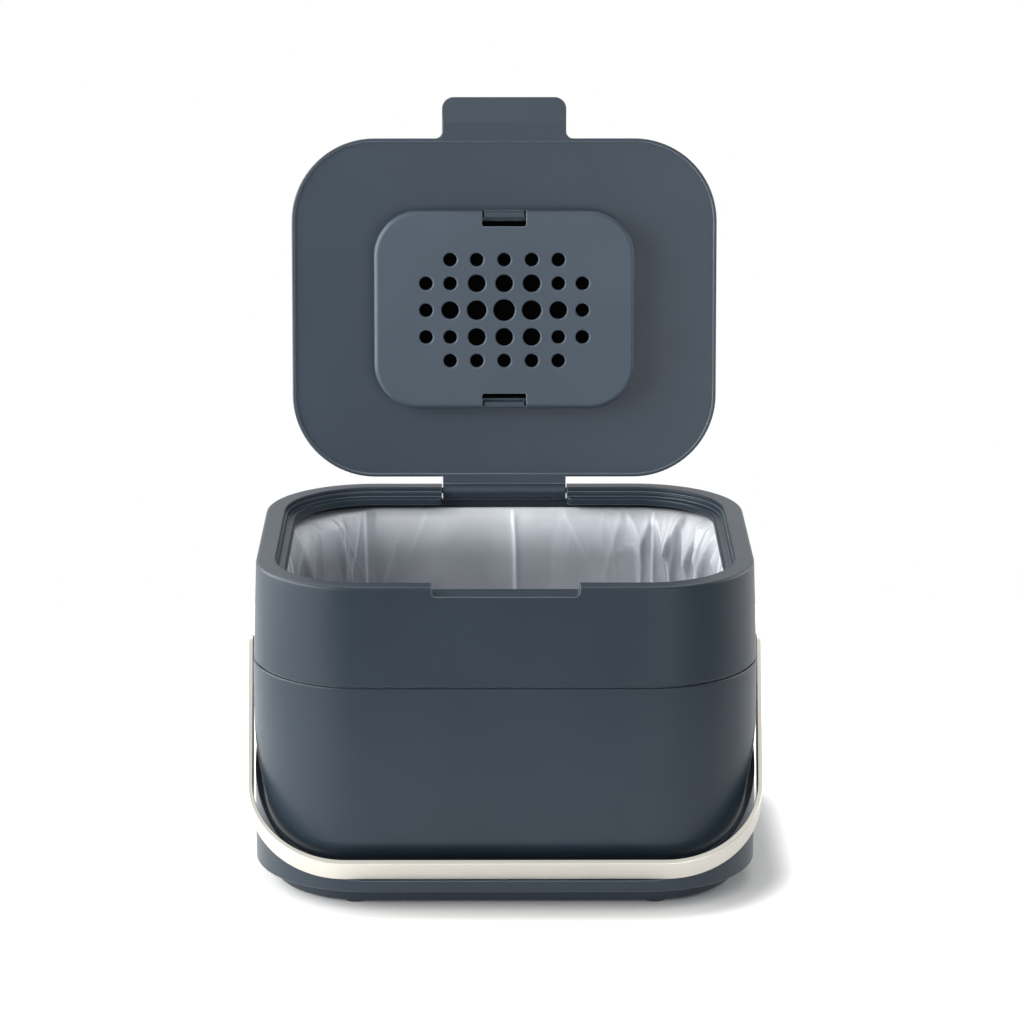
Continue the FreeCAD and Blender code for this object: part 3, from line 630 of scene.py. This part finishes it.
# Paper floor, matt and near white: it keeps the object's contact shadow, and a little way outside the
# footprint it turns to plain white for the camera, a painted white over the wider cast shadow there.
def floorPaper(name, setup):
    material, tree = newMaterial(name)
    matte = addNode(tree, "ShaderNodeBsdfDiffuse", {"Color": linear(setup["floorHex"])}, {})
    path = addNode(tree, "ShaderNodeLightPath", {}, {})
    place = addNode(tree, "ShaderNodeTexCoord", {}, {})
    halfX, halfY, corner = setup["footprint"]
    size = addNode(tree, "ShaderNodeVectorMath", {"operation": "ABSOLUTE"}, {0: place.outputs["Object"]})
    past = addNode(tree, "ShaderNodeVectorMath", {"operation": "SUBTRACT", 1: (halfX, halfY, 0)},
                   {0: size.outputs[0]})
    outside = addNode(tree, "ShaderNodeVectorMath", {"operation": "MAXIMUM", 1: (0, 0, 0)},
                      {0: past.outputs[0]})
    away = addNode(tree, "ShaderNodeVectorMath", {"operation": "LENGTH"}, {0: outside.outputs[0]})
    near, far = (corner + reach for reach in setup["liftReach"])
    lift = addNode(tree, "ShaderNodeMapRange",
                   {"interpolation_type": "SMOOTHSTEP", "From Min": near, "From Max": far,
                    "To Min": setup["floorLift"][0], "To Max": setup["floorLift"][1]},
                   {"Value": away.outputs["Value"]})
    direct = addNode(tree, "ShaderNodeMath", {"operation": "MULTIPLY"},
                     {0: path.outputs["Is Camera Ray"], 1: lift.outputs[0]})
    glossy = addNode(tree, "ShaderNodeMath", {"operation": "MULTIPLY", 1: setup["floorGloss"]},
                     {0: path.outputs["Is Glossy Ray"]})
    strength = addNode(tree, "ShaderNodeMath", {"operation": "MAXIMUM"},
                       {0: direct.outputs[0], 1: glossy.outputs[0]})
    glow = addNode(tree, "ShaderNodeEmission", {}, {"Strength": strength.outputs[0]})
    both = addNode(tree, "ShaderNodeAddShader", {}, {0: matte.outputs[0], 1: glow.outputs[0]})
    addNode(tree, "ShaderNodeOutputMaterial", {}, {"Surface": both.outputs[0]})
    return material


def makeFloor(setup):
    bpy.ops.object.select_all(action="DESELECT")
    bpy.ops.mesh.primitive_plane_add(size=2 * setup["floorHalf"])
    floor = bpy.context.object
    floor.name = "studioFloor"
    floor.data.materials.append(floorPaper("studioFloorPaper", setup))


def makeWorld(setup):  # white to the camera, graded in reflections, faint as a light
    world = bpy.data.worlds.new("studioWorld")
    scene.world = world
    world.use_nodes = True
    tree = world.node_tree
    tree.nodes.clear()
    path = addNode(tree, "ShaderNodeLightPath", {}, {})
    way = addNode(tree, "ShaderNodeTexCoord", {}, {})
    split = addNode(tree, "ShaderNodeSeparateXYZ", {}, {0: way.outputs["Generated"]})
    sheen = addNode(tree, "ShaderNodeMapRange",
                    {"From Min": setup["sheenSpan"][0], "From Max": setup["sheenSpan"][1],
                     "To Min": setup["worldFront"], "To Max": setup["worldBack"]},
                    {"Value": split.outputs["Y"]})
    glossy = addNode(tree, "ShaderNodeMath", {"operation": "MULTIPLY"},
                     {0: sheen.outputs[0], 1: path.outputs["Is Glossy Ray"]})
    direct = addNode(tree, "ShaderNodeMath", {"operation": "MAXIMUM"},
                     {0: path.outputs["Is Camera Ray"], 1: path.outputs["Is Transmission Ray"]})
    seen = addNode(tree, "ShaderNodeMath", {"operation": "MAXIMUM"},
                   {0: direct.outputs[0], 1: glossy.outputs[0]})
    diffuse = addNode(tree, "ShaderNodeMath", {"operation": "MULTIPLY", 1: setup["worldLight"]},
                      {0: path.outputs["Is Diffuse Ray"]})
    strength = addNode(tree, "ShaderNodeMath", {"operation": "ADD"},
                       {0: seen.outputs[0], 1: diffuse.outputs[0]})
    sky = addNode(tree, "ShaderNodeBackground", {"Color": linear("#ffffff")},
                  {"Strength": strength.outputs[0]})
    addNode(tree, "ShaderNodeOutputWorld", {}, {"Surface": sky.outputs[0]})


def makeLamps(setup):
    for name, place, aim, width, height, watts, hexColor in setup["lamps"]:
        data = bpy.data.lights.new(name, "AREA")
        data.shape = "RECTANGLE"
        data.size = width
        data.size_y = height
        data.energy = watts
        data.color = linear(hexColor)[:3]
        lamp = bpy.data.objects.new(name, data)
        scene.collection.objects.link(lamp)
        lamp.location = place
        lamp.rotation_mode = "QUATERNION"
        lamp.rotation_quaternion = (Vector(aim) - Vector(place)).to_track_quat("-Z", "Y")


makeFloor(studio)
makeWorld(studio)
makeLamps(studio)
scene.view_settings.view_transform = "Standard"
print("studio set")
